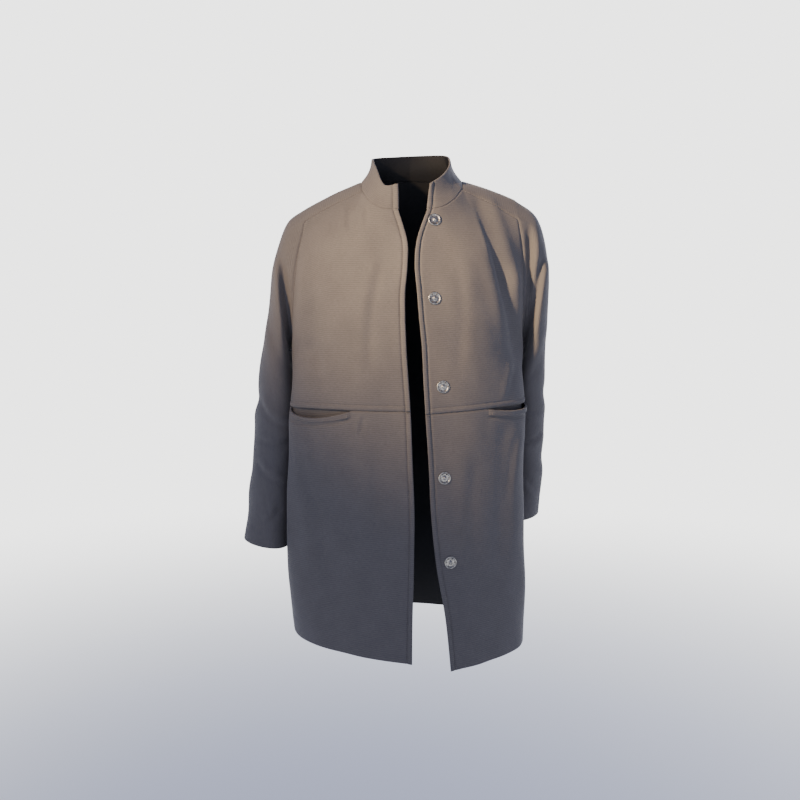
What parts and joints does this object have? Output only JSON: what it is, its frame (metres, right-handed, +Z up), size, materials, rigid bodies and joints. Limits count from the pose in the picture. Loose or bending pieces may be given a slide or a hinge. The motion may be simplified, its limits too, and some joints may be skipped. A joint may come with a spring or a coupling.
{
  "type": "stand-collar coat",
  "caption": "Straight knee-clear coat with stand collar, saddle-shoulder sleeves, waist seam with in-seam pockets and press studs, worn open.",
  "frame": {"origin": "the middle of the neckline at the height where the collar meets the shoulders", "axes": "+Z up, -Y the front, +X the wearer's left"},
  "size_m": [0.5407, 0.289, 0.8606],
  "materials": {
    "cloth": "matte crepe coating in taupe grey, near-black inside",
    "metal": "dull gunmetal"
  },
  "bodies": {
    "root": {"front_right_upper": "cloth", "front_right_lower": "cloth", "front_left_upper": "cloth", "front_left_lower": "cloth", "back": "cloth", "sleeve_right": "cloth", "sleeve_left": "cloth", "collar": "cloth", "pocket_welt_right": "cloth", "pocket_welt_left": "cloth", "pocket_back_right": "cloth", "pocket_back_left": "cloth", "snap_stud_1": "metal", "snap_stud_2": "metal", "snap_stud_3": "metal", "snap_stud_4": "metal", "snap_stud_5": "metal", "snap_socket_1": "metal", "snap_socket_2": "metal", "snap_socket_3": "metal", "snap_socket_4": "metal", "snap_socket_5": "metal"}
  },
  "joints": []
}
